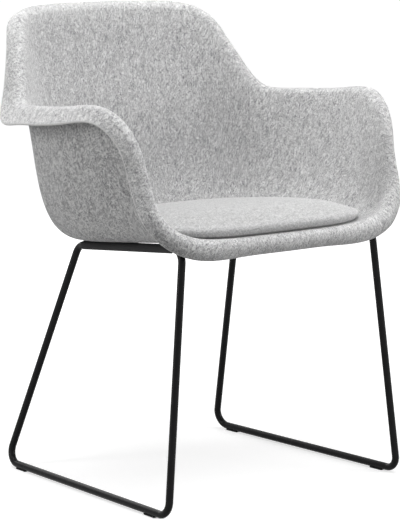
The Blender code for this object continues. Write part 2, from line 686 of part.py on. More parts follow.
def build():
    for obj in list(bpy.data.objects):
        bpy.data.objects.remove(obj, do_unlink=True)
    mats = {
        "felt": material("felt", (0.50, 0.50, 0.51), 0.95),
        "pad_felt": material("pad_felt", (0.60, 0.60, 0.60), 0.95),
        "foam": material("foam", (0.80, 0.77, 0.66), 0.9),
        "black_steel": material("black_steel", (0.018, 0.018, 0.020), 0.38, 0.3),
        "steel": material("steel", (0.55, 0.56, 0.57), 0.3, 1.0),
        "nylon": material("nylon", (0.022, 0.022, 0.024), 0.5),
        "rubber": material("rubber", (0.03, 0.03, 0.03), 0.8),
    }
    chair = empty("chair")
    shell, rows, top, centre, middle = bucket(mats["felt"], chair)
    chair.location = (0, -middle, 0)
    seat = empty("seat_frame", chair, (0, 0, SEAT_Z), (SEAT_TILT, 0, 0))
    for side, name in ((1, "left"), (-1, "right")):
        sled("sled_" + name, side, mats["black_steel"], chair)
        sleeve("rail_sleeve_" + name, side, mats["nylon"], chair)
        glide("glide_front_" + name, side, RUNNER_FRONT_Y + GLIDE_INSET, mats["nylon"], chair)
        glide("glide_rear_" + name, side, RUNNER_REAR_Y - GLIDE_INSET, mats["nylon"], chair)
    for end, y in (("front", STRAP_FRONT_Y), ("rear", STRAP_REAR_Y)):
        strap("strap_" + end, y, mats["black_steel"], seat)
        for side, name in ((1, "left"), (-1, "right")):
            fastener(end + "_" + name, side * SCREW_SPAN / 2, y, mats, shell, seat)
    pad = empty("seat_pad", chair)
    seat_pad(rows, top, centre, mats, pad)


build()
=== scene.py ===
"""Felt tub chair on a sled base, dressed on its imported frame.

Metres, +Z up, the chair faces -Y and the origin is on the floor under its middle.
"""

import json
import math

import bmesh
import bpy
import numpy as np
from mathutils import Matrix, Vector


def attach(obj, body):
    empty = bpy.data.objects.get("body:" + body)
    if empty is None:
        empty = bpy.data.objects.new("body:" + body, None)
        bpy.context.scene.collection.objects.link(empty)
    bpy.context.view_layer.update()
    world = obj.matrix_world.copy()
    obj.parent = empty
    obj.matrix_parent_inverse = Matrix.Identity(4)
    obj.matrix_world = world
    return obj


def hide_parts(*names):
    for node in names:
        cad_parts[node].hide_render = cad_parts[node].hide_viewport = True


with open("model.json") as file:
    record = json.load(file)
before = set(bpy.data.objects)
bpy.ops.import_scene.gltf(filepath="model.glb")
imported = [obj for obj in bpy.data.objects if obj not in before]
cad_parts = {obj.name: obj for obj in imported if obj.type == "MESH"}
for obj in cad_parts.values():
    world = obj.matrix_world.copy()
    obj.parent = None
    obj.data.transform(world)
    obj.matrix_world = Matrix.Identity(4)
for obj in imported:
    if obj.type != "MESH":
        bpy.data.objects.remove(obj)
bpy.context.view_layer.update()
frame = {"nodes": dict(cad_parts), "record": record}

# Sizes of the part, as its source has them; a roll is its radius, turn in degrees and lip
SHIFT_Y = -0.02577
TOUCH = 0.0003
GLIDE_SOLE = 0.0012
BAR_R = 0.006
BAR_BEND_R = 0.022
RUNNER_Y = 0.228
RUNNER_FRONT_HALF = 0.2411
RUNNER_REAR_HALF = 0.2273
RAIL_FRONT_Y = -0.2074
RAIL_REAR_Y = 0.1012
RAIL_FRONT_HALF = 0.1966
RAIL_REAR_HALF = 0.1674
RAIL_FRONT_RISE = 0.4085
RAIL_REAR_RISE = 0.377
SLEEVE_WALL = 0.001
STRAP_WIDTH = 0.028
STRAP_T = 0.004
STRAP_Y = {"front": -0.125, "rear": 0.045}
SCREW_SPAN = 0.240
INSERT_BARREL_D = 0.0092
INSERT_FLANGE_D = 0.020
INSERT_FLANGE_T = 0.0012

WALL = 0.007
TRIM_T = 0.004
CENTRE_Y = -0.015
FLOOR_HALF = 0.1815
FLOOR_FRONT = 0.158
FLOOR_REAR = 0.145
FLOOR_FRONT_POWER = 7.0
FLOOR_REAR_POWER = 2.95
FRONT_HALF = 0.217
ARM_HALF = 0.272
BACK_HALF = 0.178
FRONT_Y = -0.2185
NOSE_Y = -0.142
VALLEY_Y = 0.135
BACK_Y = 0.252
FRONT_RISE = -0.0024
ARM_RISE = 0.2035
BACK_RISE = 0.3715
FRONT_ROLL = (0.017, 150.0, 0.003)
ARM_ROLL = (0.013, 135.0, 0.023)
VALLEY_LIP = 0.037
BACK_ROLL = (0.018, 112.0, 0.011)
KNOT_POWER = 0.6

PAD_HALF = 0.2095
PAD_FRONT_Y = -0.2215
PAD_REAR_Y = 0.162
PAD_FRONT_POWER = 4.7
PAD_REAR_POWER = 2.5
PAD_CENTRE_T = 0.043
PAD_FRONT_T = 0.020
PAD_SIDE_T = 0.015
PAD_REAR_T = 0.018
PAD_CROWN_POWER = 4.2
PAD_CLIMB = 0.010
PAD_BASE_T = 0.0018
PAD_LAP = 0.018
PAD_REST = 0.0006
PAD_ROUND_SHARE = 0.6
PAD_EDGE_DRAW = 0.15

# Fineness of the pieces made here, finer than the solids
COLUMNS = 360
CREST_STEPS = 4001
FLOOR_ROWS = 14
WALL_ROWS = 56
ROLL_ROWS = 18
LIP_ROWS = 8
TRIM_ROWS = 4
PAD_CROWN_START = 0.03
PAD_CROWN_ROWS = 34
PAD_EDGE_ROWS = 18
PAD_LAP_ROWS = 7
PAD_INNER_SHARES = (0.97, 0.6, 0.3)
PAD_SHEET_SHARES = (0.05, 0.35, 0.62, 0.8, 0.9, 0.97, 1.0)
BAR_SIDES = 48
BEND_STEPS = 24
SEAT_SIDES = 40
SHARP_FROM = math.radians(80.0)

# Trim of the felt's cut edge, and welds of the straps: beads that swell, shrink and end round
TRIM_BULGE = 0.0007
WELD_R = 0.0019
WELD_STEPS = 29
WELD_SIDES = 12
WELD_SWELL = 0.1
WELD_PITCH = 1.9
WELD_ENDS = (0.12, 0.88)
WELD_END_POWER = 0.25
WELD_SEAT = 0.94

RUNNER_Z = GLIDE_SOLE + TOUCH + BAR_R
RAIL_FRONT_Z = RUNNER_Z + RAIL_FRONT_RISE
RAIL_REAR_Z = RUNNER_Z + RAIL_REAR_RISE
SLEEVE_R = BAR_R + TOUCH + SLEEVE_WALL
SEAT_SLOPE = (RAIL_REAR_Z - RAIL_FRONT_Z) / (RAIL_REAR_Y - RAIL_FRONT_Y)
SEAT_TILT = math.atan(SEAT_SLOPE)
RAIL_DROP = WALL + TOUCH + SLEEVE_R
SEAT_Z = RAIL_FRONT_Z - SEAT_SLOPE * RAIL_FRONT_Y + RAIL_DROP / math.cos(SEAT_TILT)


def seat_z(y):
    return SEAT_Z + SEAT_SLOPE * y


def mix(a, b, t):
    return a + (b - a) * t


def unit(v):
    return v / np.linalg.norm(v, axis=-1, keepdims=True)


def shifted(points):
    """Points of the source's own place, moved to the frame's."""
    return np.asarray(points) + np.array([0.0, SHIFT_Y, 0.0])


# Shape of the felt bucket
def rim_ribs():
    """Crest point, lean, roll radius, turn, lip and wall handles, from front to back."""
    (fr, fa, fl), (ar, aa, al), (br, ba, bl) = FRONT_ROLL, ARM_ROLL, BACK_ROLL
    vl = VALLEY_LIP

    def across(t):
        return mix(FRONT_HALF, ARM_HALF, t)

    def inward(t):
        return mix(ARM_HALF, BACK_HALF, t)

    def fore(t):
        return mix(FRONT_Y, NOSE_Y, t)

    def side(t):
        return mix(NOSE_Y, VALLEY_Y, t)

    def aft(t):
        return mix(VALLEY_Y, BACK_Y, t)

    def arm(t):
        return mix(FRONT_RISE, ARM_RISE, t)

    def back(t):
        return mix(ARM_RISE, BACK_RISE, t)

    return [
        (0.0, FRONT_Y, arm(-0.019), 84, fr * 0.88, fa, fl, 0.030, 0.030),
        (FRONT_HALF * 0.41, FRONT_Y, arm(-0.017), 84, fr * 0.9, fa, fl, 0.030, 0.030),
        (FRONT_HALF * 0.78, fore(0.02), arm(0.008), 76, fr, fa, mix(fl, al, 0.1), 0.030, 0.030),
        (FRONT_HALF, fore(0.13), arm(0.096), 50, mix(fr, ar, 0.35), mix(fa, aa, 0.2),
         mix(fl, al, 0.33), 0.050, 0.032),
        (across(0.37), fore(0.25), arm(0.246), 28, mix(fr, ar, 0.67), mix(fa, aa, 0.67),
         mix(fl, al, 0.43), 0.076, 0.044),
        (across(0.51), fore(0.48), arm(0.535), 18, ar, aa, mix(fl, al, 0.53), 0.080, 0.065),
        (across(0.61), fore(0.69), arm(0.735), 15, ar, aa, mix(fl, al, 0.62), 0.078, 0.075),
        (across(0.76), NOSE_Y, arm(0.893), 14, ar, aa, mix(fl, al, 0.75), 0.070, 0.080),
        (across(0.91), side(0.125), arm(0.99), 13, ar, aa, mix(fl, al, 0.85), 0.068, 0.085),
        (ARM_HALF, side(0.375), arm(1.004), 13, ar, aa, al, 0.066, 0.085),
        (inward(0.064), side(0.69), back(0.023), 14, ar, aa, mix(al, vl, 0.15), 0.066, 0.085),
        (inward(0.213), side(0.905), back(0.048), 15, ar, aa, mix(al, vl, 0.45), 0.070, 0.088),
        (inward(0.315), VALLEY_Y, back(0.108), 16, ar, mix(aa, ba, 0.3), vl, 0.086, 0.092),
        (inward(0.479), aft(0.215), back(0.322), 16, ar, mix(aa, ba, 0.83),
         mix(vl, bl, 0.45), 0.090, 0.098),
        (inward(0.628), aft(0.4), back(0.544), 15, ar, ba, mix(vl, bl, 0.76), 0.092, 0.105),
        (inward(0.777), aft(0.57), back(0.748), 13, mix(ar, br, 0.2), ba,
         mix(vl, bl, 0.94), 0.086, 0.112),
        (BACK_HALF, aft(0.75), back(0.909), 11, mix(ar, br, 0.6), ba, bl, 0.088, 0.120),
        (BACK_HALF * 0.742, aft(0.9), back(0.978), 10, br, ba, bl, 0.090, 0.125),
        (BACK_HALF * 0.371, aft(0.975), back(0.995), 10, br, ba, bl, 0.090, 0.125),
        (0.0, BACK_Y, BACK_RISE, 10, br, ba, bl, 0.090, 0.125),
    ]


def closed_spline(points, knots, t):
    """Periodic cubic spline through points at knots: its values and slopes at t."""
    h = np.diff(knots)
    m = len(h)
    a = np.zeros((m, m))
    b = np.zeros((m, points.shape[1]))
    for i in range(m):
        before, after = (i - 1) % m, (i + 1) % m
        a[i, before] += h[before]
        a[i, i] += 2 * (h[before] + h[i])
        a[i, after] += h[i]
        rise = (points[i + 1] - points[i]) / h[i]
        b[i] = 6 * (rise - (points[before + 1] - points[before]) / h[before])
    bend = np.linalg.solve(a, b)
    bend = np.vstack([bend, bend[:1]])
    i = np.clip(np.searchsorted(knots, t, side="right") - 1, 0, m - 1)
    w = h[i][:, None]
    p = (knots[i + 1] - t)[:, None]
    q = (t - knots[i])[:, None]
    m0, m1, y0, y1 = bend[i], bend[i + 1], points[i], points[i + 1]
    value = m0 * p ** 3 / (6 * w) + m1 * q ** 3 / (6 * w)
    value += (y0 / w - m0 * w / 6) * p + (y1 / w - m1 * w / 6) * q
    slope = -m0 * p ** 2 / (2 * w) + m1 * q ** 2 / (2 * w)
    slope += (y1 - y0) / w - (m1 - m0) * w / 6
    return value, slope


def rim_columns(count):
    """Ribs and the crest's direction at even steps round the rim, from the front's middle."""
    half = np.array(rim_ribs(), float)
    half[:, 2] += seat_z(half[:, 1])
    mirrored = half[-2:0:-1].copy()
    mirrored[:, 0] *= -1
    ring = np.vstack([half, mirrored])
    closed = np.vstack([ring, ring[:1]])
    step = np.linalg.norm(np.diff(closed[:, :3], axis=0), axis=1) ** KNOT_POWER
    knots = np.concatenate([[0.0], np.cumsum(step)])
    fine = np.linspace(0.0, knots[-1], CREST_STEPS)
    crest = closed_spline(closed, knots, fine)[0][:, :3]
    along = np.concatenate([[0.0], np.cumsum(np.linalg.norm(np.diff(crest, axis=0), axis=1))])
    even = np.interp(np.arange(count) / count * along[-1], along, fine)
    value, slope = closed_spline(closed, knots, even)
    return value, unit(slope[:, :3])


def outline(direction, half, front, rear, front_power, rear_power):
    """Reach of a rounded outline in each direction from its middle."""
    angle = np.arctan2(direction[:, 1], direction[:, 0])
    depth = np.where(direction[:, 1] < 0, front, rear)
    power = np.where(direction[:, 1] < 0, front_power, rear_power)
    return (np.abs(np.cos(angle) / half) ** power
            + np.abs(np.sin(angle) / depth) ** power) ** (-1 / power)


def bucket_rows(count):
    """Inside face of the bucket as rows of rings, from the floor's middle to the trim."""
    rib, tangent = rim_columns(count)
    crest = rib[:, :3]
    centre = np.array([0.0, CENTRE_Y, seat_z(CENTRE_Y)])
    out = unit(crest[:, :2] - centre[:2])
    out3 = np.column_stack([out, np.zeros(count)])
    lean = np.radians(rib[:, 3:4])
    up = np.array([0.0, 0.0, 1.0])
    climb = out3 * np.sin(lean) + up * np.cos(lean)
    along = unit(climb - (climb * tangent).sum(1, keepdims=True) * tangent)
    away = unit(np.cross(tangent, along))
    away[((out3 * np.cos(lean) - up * np.sin(lean)) * away).sum(1) < 0] *= -1
    roll, turn, lip = rib[:, 4:5], np.radians(rib[:, 5:6]), rib[:, 6:7]
    leave, meet = rib[:, 7:8], rib[:, 8:9]
    reach = outline(out, FLOOR_HALF, FLOOR_FRONT, FLOOR_REAR,
                    FLOOR_FRONT_POWER, FLOOR_REAR_POWER)
    foot_xy = centre[:2] + out * reach[:, None]
    foot = np.column_stack([foot_xy, seat_z(foot_xy[:, 1])])
    rows = [centre + (foot - centre) * k / FLOOR_ROWS for k in range(1, FLOOR_ROWS)]
    knee = foot + unit(foot - centre) * leave
    neck = crest - climb * meet
    for k in range(WALL_ROWS + 1):
        u = k / WALL_ROWS
        rows.append(foot * (1 - u) ** 3 + 3 * knee * u * (1 - u) ** 2
                    + 3 * neck * u * u * (1 - u) + crest * u ** 3)
    top = len(rows) - 1
    for k in range(1, ROLL_ROWS + 1):
        a = turn * k / ROLL_ROWS
        rows.append(crest + roll * np.sin(a) * along + roll * (1 - np.cos(a)) * away)
    run = np.cos(turn) * along + np.sin(turn) * away
    end = rows[-1]
    rows += [end + run * lip * k / LIP_ROWS for k in range(1, LIP_ROWS + 1)]
    return np.stack(rows), top, centre, away, run


def face_normals(grid):
    step = unit(np.diff(grid, axis=0))
    down = np.concatenate([step[:1], step[:-1] + step[1:], step[-1:]])
    around = np.roll(grid, -1, axis=1) - np.roll(grid, 1, axis=1)
    return unit(np.cross(down, around))


def bucket_rings(rows, top, away, run):
    """Rings of the whole skin: its inside, the trim of the cut edge and its outside."""
    normal = face_normals(rows)
    normal *= np.sign((normal[top] * away).sum(-1))[None, :, None]
    depth = np.full(len(rows), WALL)
    depth[top:] = np.linspace(WALL, TRIM_T, len(rows) - top)
    outside = rows + normal * depth[:, None, None]
    trim = []
    for k in range(1, TRIM_ROWS):
        t = k / TRIM_ROWS
        bulge = run * TRIM_BULGE * math.sin(math.pi * t)
        trim.append(mix(rows[-1], outside[-1], t) + bulge)
    return np.stack([*rows, *trim, *outside[::-1]])


# Making and placing pieces: meshes are in the frame's place, with objects at the origin
def linked(name, data):
    obj = bpy.data.objects.new(name, data)
    bpy.context.scene.collection.objects.link(obj)
    return obj


def piece(name, mesh, mat, body):
    obj = linked(name, mesh)
    mesh.materials.append(mat)
    mesh.shade_smooth()
    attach(obj, body)
    return obj


def closed_mesh(name, verts, faces):
    """Closed mesh with its faces turned outward."""
    mesh = bpy.data.meshes.new(name)
    mesh.from_pydata(verts.tolist(), [], faces)
    bm = bmesh.new()
    bm.from_mesh(mesh)
    bmesh.ops.recalc_face_normals(bm, faces=bm.faces)
    if bm.calc_volume(signed=True) < 0:
        bmesh.ops.reverse_faces(bm, faces=bm.faces)
    bm.to_mesh(mesh)
    bm.free()
    return mesh


def from_rings(name, rings, first, last):
    """Closed quad mesh from rings in order, closed by a fan at each end."""
    verts = np.vstack([*rings, first, last])
    n = len(rings[0])
    j = np.arange(n)
    k = (j + 1) % n
    starts = np.arange(len(rings) - 1) * n
    quads = np.vstack([np.column_stack([a + j, a + k, a + n + k, a + n + j]) for a in starts])
    end = (len(rings) - 1) * n
    tip = len(verts)
    fans = np.vstack([np.column_stack([k, j, np.full(n, tip - 2)]),
                      np.column_stack([end + j, end + k, np.full(n, tip - 1)])])
    return closed_mesh(name, verts, quads.tolist() + fans.tolist())


def tube(name, path, radii, sides, closed):
    """Round tube along a path that runs mostly across X, closed on itself or with round ends."""
    path = np.asarray(path)
    if closed:
        tangent = unit(np.roll(path, -1, axis=0) - np.roll(path, 1, axis=0))
    else:
        tangent = unit(np.gradient(path, axis=0))
    side_on = unit(np.cross(tangent, np.array([1.0, 0.0, 0.0])))
    other = np.cross(tangent, side_on)
    turn = (np.arange(sides) * 2 * math.pi / sides)[None, :, None]
    spoke = np.cos(turn) * side_on[:, None] + np.sin(turn) * other[:, None]
    rings = path[:, None] + np.broadcast_to(radii, len(path))[:, None, None] * spoke
    if not closed:
        return from_rings(name, rings, path[0], path[-1])
    at = np.arange(len(path) * sides).reshape(len(path), sides)
    beside = np.roll(at, -1, axis=1)
    quads = np.stack([at, beside, np.roll(beside, -1, axis=0), np.roll(at, -1, axis=0)], axis=-1)
    return closed_mesh(name, rings.reshape(-1, 3), quads.reshape(-1, 4).tolist())


# Fibres, in four families; on a smaller share of the real girth their clumps look wider
FAMILIES = ("fibre_a", "fibre_b", "fibre_c", "fibre_d")
FIBRE_STRETCH = 5.0
WALL_SLANTS = (0.0, 0.7, -0.9)
FLAT_TURNS = (0.3, 1.1, 1.9, 2.7)
GIRTH_SHARE = 0.875
GIRTH_SWING = 0.0714
OUTSIDE_CUT = 0.3

# Painted highlight and painted shade on the bucket: ring rows past the crest, heights of the
# crest, and shares
RIM_START, RIM_GROWTH = -5, 7
RIM_HIGHLIGHT, RIM_HIGHLIGHT_RISE = 0.7, 0.8
ROLL_START, ROLL_PAINTED_HIGHLIGHT = 8, 0.2
EDGE_START, EDGE_GROWTH, EDGE_PAINTED_SHADE = 4, 8, -0.18
BELOW_HOLD, BELOW_FADE, BELOW_PAINTED_SHADE = 8, 9, -0.12
FRONT_EDGE_Z, FRONT_EDGE_REACH = 0.43, 0.02
ARM_TOP_Z, ARM_REACH = 0.62, 0.05
BACK_FOOT_Z, BACK_REACH = 0.64, 0.12


def mark(mesh, name, values):
    attribute = mesh.attributes.new(name, "FLOAT", "POINT")
    attribute.data.foreach_set("value", np.asarray(values, np.float32))


def mark_fibres(mesh, vectors):
    for family, vector in zip(FAMILIES, vectors):
        attribute = mesh.attributes.new(family, "FLOAT_VECTOR", "POINT")
        attribute.data.foreach_set("vector", np.asarray(vector, np.float32).ravel())


def lay_round(angle, up, girth, share):
    """Fibre coordinates on a wall that runs round an axis, one set per family. The clumps are a
    third wider on the arms than in front and behind, and wider where the share is less."""
    radius = GIRTH_SHARE * girth / (2 * math.pi) * share
    angle = angle + GIRTH_SWING * np.sin(2 * angle)
    made = []
    for slant in WALL_SLANTS:
        turned = angle + slant * up / radius
        made.append(np.column_stack([radius * np.cos(turned), radius * np.sin(turned),
                                     up / FIBRE_STRETCH]))
    flat = radius / FIBRE_STRETCH
    made.append(np.column_stack([flat * np.cos(angle), flat * np.sin(angle), up]))
    return made


def lay_flat(mesh):
    """Fibre coordinates on a level piece, one set per family."""
    at = np.zeros(len(mesh.vertices) * 3)
    mesh.vertices.foreach_get("co", at)
    at = at.reshape(-1, 3)
    made = []
    for turn in FLAT_TURNS:
        along = at[:, 0] * math.cos(turn) + at[:, 1] * math.sin(turn)
        across = at[:, 1] * math.cos(turn) - at[:, 0] * math.sin(turn)
        made.append(np.column_stack([across, at[:, 2], along / FIBRE_STRETCH]))
    return made


def with_ends(by_ring, first=0.0, last=0.0):
    """Values of all the rings' vertices, then of the mesh's two end points."""
    return np.append(np.broadcast_to(by_ring, (len(by_ring), COLUMNS)).ravel(), (first, last))


# Materials
class Nodes:
    """Nodes of one shader tree; what feeds a socket is a plain value or another node's output."""

    def __init__(self, owner, shader):
        owner.use_nodes = True
        self.owner = owner
        self.tree = owner.node_tree
        self.shader = self.tree.nodes[shader]

    def feed(self, socket, value):
        if isinstance(value, bpy.types.NodeSocket):
            self.tree.links.new(value, socket)
        else:
            socket.default_value = value

    def add(self, kind, values=None, **props):
        node = self.tree.nodes.new("ShaderNode" + kind)
        for key, value in props.items():
            setattr(node, key, value)
        for key, value in (values or {}).items():
            self.feed(node.inputs[key], value)
        return node.outputs

    def put(self, **values):
        for key, value in values.items():
            self.feed(self.shader.inputs[key.replace("_", " ")], value)
        return self.owner

    def math(self, operation, a, b=0.0, c=0.0, clamp=False):
        return self.add("Math", {0: a, 1: b, 2: c}, operation=operation, use_clamp=clamp)[0]

    def scaled(self, vector, scale):
        return self.add("VectorMath", {0: vector, "Scale": scale}, operation="SCALE")[0]

    def marked(self, name, output="Fac"):
        return self.add("Attribute", attribute_name=name)[output]

    def noise(self, at, scale, detail=2.0, rough=0.5, warp=0.0):
        return self.add("TexNoise", {"Vector": at, "Scale": scale, "Detail": detail,
                                     "Roughness": rough, "Distortion": warp})

    def ramp(self, value, low, high, to_low=0.0, to_high=1.0):
        return self.add("MapRange", {"Value": value, "From Min": low, "From Max": high,
                                     "To Min": to_low, "To Max": to_high},
                        interpolation_type="SMOOTHSTEP")[0]

    def blend(self, factor, a, b):
        out = self.add("Mix", {"Factor": factor, "A": a, "B": b}, data_type="RGBA")
        return out["Result"]

    def bump(self, height, distance, strength=1.0):
        out = self.add("Bump", {"Height": height, "Distance": distance, "Strength": strength})
        self.put(Normal=out["Normal"])

    def seen(self):
        """1 for rays from the camera, off gloss and through glass, which show the backdrop."""
        path = self.add("LightPath")
        sight = self.math("MAXIMUM", path["Is Camera Ray"], path["Is Glossy Ray"])
        return self.math("MAXIMUM", sight, path["Is Transmission Ray"])


def new_material(name):
    """Nodes of a new material, with the place on the piece for its textures."""
    m = Nodes(bpy.data.materials.new(name), "Principled BSDF")
    m.place = m.add("TexCoord")["Object"]
    return m


def colour(r, g=None, b=None):
    """Colour of three shares, or a plain grey of one."""
    return (r, r if g is None else g, r if b is None else b, 1.0)


# Felt: colours of its tones and strands, scales of its textures per metre, and their shares
FELT_TONES = (colour(0.108, 0.104, 0.120), colour(0.415, 0.415, 0.42), colour(0.80, 0.80, 0.79))
PAD_TONES = (colour(0.24, 0.238, 0.245), colour(0.50, 0.50, 0.50), colour(0.76, 0.76, 0.75))
DARK_STRAND = colour(0.124, 0.121, 0.136)
PALE_STRAND = colour(0.92, 0.92, 0.91)
PALE_WOOL = colour(0.90, 0.90, 0.89)
WANDER_SCALE, WANDER = 48.0, 0.014
AREA_SCALE, AREA_BIAS = 38.0, 0.02
CLUMP_SCALE, CLUMP_STEP = 400.0, 50.0
OVER_LEVEL, BELOW_LEVEL = 0.60, 0.40
SPECKS = {"scale": 900.0, "detail": 2.0, "rough": 0.6}
CLOUDS = {"scale": 110.0, "detail": 3.0, "rough": 0.55}
SPECK_SHARE, CLOUD_SHARE = 0.5, 0.15
RIM_GAIN, OUTER_GAIN, OUTER_DARK = -0.15, 1.1, -0.5
MID_TONE = 0.42
DARK_SCALE, PALE_SCALE, STRAND_WIDTH = 300.0, 340.0, 0.075
HAIR_SCALE, HAIR_WIDTH, HAIR_SHARE = 1000.0, 0.05, 0.15
SECOND_SCALE, SCALE_STEP = 1.13, 0.17
PALE_HEIGHT, DARK_DEPTH = 0.5, 0.3


def felt(name, tones, contrast, lines, cut_edge_pale_and_highlight, rim_highlight_share):
    """Pressed wool felt: tangled pale and dark fibres that lie in four directions."""
    m = new_material(name)

    # Where the fibres of each family lie, with some wander
    wander = m.noise(m.place, WANDER_SCALE)["Color"]
    wander = m.add("VectorMath", {0: wander, 1: (0.5, 0.5, 0.5)}, operation="SUBTRACT")[0]
    wander = m.scaled(wander, WANDER)
    lays = []
    for family in FAMILIES:
        lay = m.marked(family, "Vector")
        lays.append(m.add("VectorMath", {0: lay, 1: wander}, operation="ADD")[0])

    # Clumps of fibres, of which one family or the other shows more from area to area
    area = m.noise(m.place, AREA_SCALE, detail=1.0)["Fac"]
    clumps = []
    for i, lay in enumerate(lays):
        clump = m.noise(lay, CLUMP_SCALE + CLUMP_STEP * i, detail=3.0, rough=0.65)["Fac"]
        bias = -AREA_BIAS if i % 2 else AREA_BIAS
        clumps.append(m.math("ADD", clump, m.ramp(area, 0.3, 0.7, bias, -bias)))
    over = m.math("MAXIMUM", m.math("MAXIMUM", clumps[0], clumps[1]), clumps[2])
    below = m.math("MINIMUM", m.math("MINIMUM", clumps[3], clumps[1]), clumps[0])
    tone = m.math("ADD", m.math("SUBTRACT", over, OVER_LEVEL),
                  m.math("SUBTRACT", below, BELOW_LEVEL))

    # Fine specks and slow clouds, round the same mean
    for texture, share in ((SPECKS, SPECK_SHARE), (CLOUDS, CLOUD_SHARE)):
        spots = m.math("SUBTRACT", m.noise(m.place, **texture)["Fac"], 0.5)
        tone = m.math("ADD", tone, m.math("MULTIPLY", spots, share))

    # Contrast is stronger outside, and the rim carries a painted highlight, paler and plainer
    outer = m.marked("outer")
    rim = m.marked("rim")
    gain = m.math("MULTIPLY_ADD", rim, RIM_GAIN * contrast, contrast)
    gain = m.math("MULTIPLY_ADD", outer, OUTER_GAIN * contrast, gain)
    middle = m.math("MULTIPLY_ADD", rim, rim_highlight_share, MID_TONE)
    tone = m.math("ADD", m.math("MULTIPLY", tone, gain), middle, clamp=True)
    shown = m.add("ValToRGB", {"Fac": tone})["Color"]
    elements = shown.node.color_ramp.elements
    elements[0].position, elements[0].color = 0.0, tones[0]
    elements[1].position, elements[1].color = 1.0, tones[2]
    elements.new(0.5).color = tones[1]

    def strand(lay, scale, width):
        value = m.noise(lay, scale, detail=1.0)["Fac"]
        off = m.math("ABSOLUTE", m.math("SUBTRACT", value, 0.5))
        return m.ramp(off, 0.0, width, 1.0, 0.0)

    def tangle(order, scale, width):
        """Single strands of three families, the later ones finer."""
        made = strand(lays[order[0]], scale, width)
        for i, k in enumerate(order[1:]):
            finer = scale * (SECOND_SCALE + SCALE_STEP * i)
            made = m.math("MAXIMUM", made, strand(lays[k], finer, width))
        return made

    # Single strands over the clumps, fewer dark ones outside
    dark = tangle((0, 1, 3), DARK_SCALE, STRAND_WIDTH)
    pale = tangle((1, 2, 0), PALE_SCALE, STRAND_WIDTH)
    hair = tangle((2, 3, 1), HAIR_SCALE, HAIR_WIDTH)
    dark_share = m.math("MULTIPLY_ADD", outer, OUTER_DARK * lines, lines)
    shown = m.blend(m.math("MULTIPLY", dark, dark_share), shown, DARK_STRAND)
    shown = m.blend(m.math("MULTIPLY", pale, lines), shown, PALE_STRAND)
    shown = m.blend(m.math("MULTIPLY", hair, HAIR_SHARE), shown, PALE_WOOL)
    # The cut edge is paler: partly its own cut fibres, partly a painted highlight on the thin edge
    if cut_edge_pale_and_highlight:
        shown = m.blend(m.math("MULTIPLY", m.marked("trim"), cut_edge_pale_and_highlight), shown, PALE_WOOL)
    # Painted highlight and painted shade marked on the mesh scale the colour up or down
    shown = m.scaled(shown, m.math("ADD", m.marked("painted_light"), 1.0))

    height = m.math("SUBTRACT", m.math("MULTIPLY", pale, PALE_HEIGHT),
                    m.math("MULTIPLY", dark, DARK_DEPTH))
    m.bump(m.math("ADD", height, tone), distance=0.0003, strength=0.7)
    return m.put(Base_Color=shown, Roughness=0.93, Sheen_Weight=0.5, Sheen_Roughness=0.5,
                 Specular_IOR_Level=0.22)


def powder_coat(name):
    """Satin black powder coat: fine orange peel, faint unevenness and scuffs near the floor."""
    m = new_material(name)
    peel = m.noise(m.place, scale=900.0)["Fac"]
    slow = m.noise(m.place, scale=45.0, detail=3.0)["Fac"]
    scuff = m.noise(m.place, scale=260.0, detail=4.0, rough=0.7, warp=0.6)["Fac"]
    height = m.add("SeparateXYZ", {0: m.place})["Z"]
    low_down = m.ramp(height, 0.02, 0.0)
    worn = m.math("MULTIPLY", m.ramp(scuff, 0.58, 0.68), low_down)
    shown = m.blend(m.ramp(slow, 0.3, 0.7), colour(0.010, 0.010, 0.0106),
                    colour(0.014, 0.014, 0.0148))
    shown = m.blend(m.math("MULTIPLY", worn, 0.5), shown, colour(0.05))
    m.bump(peel, distance=0.00006, strength=0.6)
    rough = m.math("ADD", m.ramp(slow, 0.2, 0.8, 0.22, 0.28), m.math("MULTIPLY", worn, 0.2))
    return m.put(Base_Color=shown, Roughness=rough, Specular_IOR_Level=0.08)


def moulded(name, low, high, rough, grain, sheen):
    """Moulded nylon or rubber with a fine spark-eroded grain."""
    m = new_material(name)
    fine = m.noise(m.place, scale=1500.0)["Fac"]
    slow = m.noise(m.place, scale=60.0, detail=3.0)["Fac"]
    shown = m.blend(m.ramp(slow, 0.3, 0.7), low, high)
    m.bump(fine, distance=grain, strength=0.8)
    return m.put(Base_Color=shown, Roughness=m.ramp(slow, 0.2, 0.8, rough - 0.06, rough + 0.08),
                 Sheen_Weight=sheen, Specular_IOR_Level=0.1)


def zinc(name):
    """Zinc-plated steel with faint spangle and turning marks."""
    m = new_material(name)
    spangle = m.add("TexVoronoi", {"Vector": m.place, "Scale": 700.0})["Color"]
    share = m.add("SeparateColor", {0: spangle})["Red"]
    slow = m.noise(m.place, scale=300.0, detail=3.0)["Fac"]
    shown = m.blend(share, colour(0.50, 0.51, 0.52), colour(0.63, 0.63, 0.62))
    m.bump(slow, distance=0.00003, strength=0.5)
    return m.put(Base_Color=shown, Metallic=1.0, Roughness=m.ramp(slow, 0.3, 0.7, 0.26, 0.42))


def open_foam(name):
    """Open-cell foam."""
    m = new_material(name)
    cells = m.add("TexVoronoi", {"Vector": m.place, "Scale": 900.0})["Distance"]
    shown = m.blend(m.ramp(cells, 0.1, 0.6), colour(0.62, 0.58, 0.44), colour(0.82, 0.79, 0.66))
    m.bump(cells, distance=0.0004)
    return m.put(Base_Color=shown, Roughness=0.9)


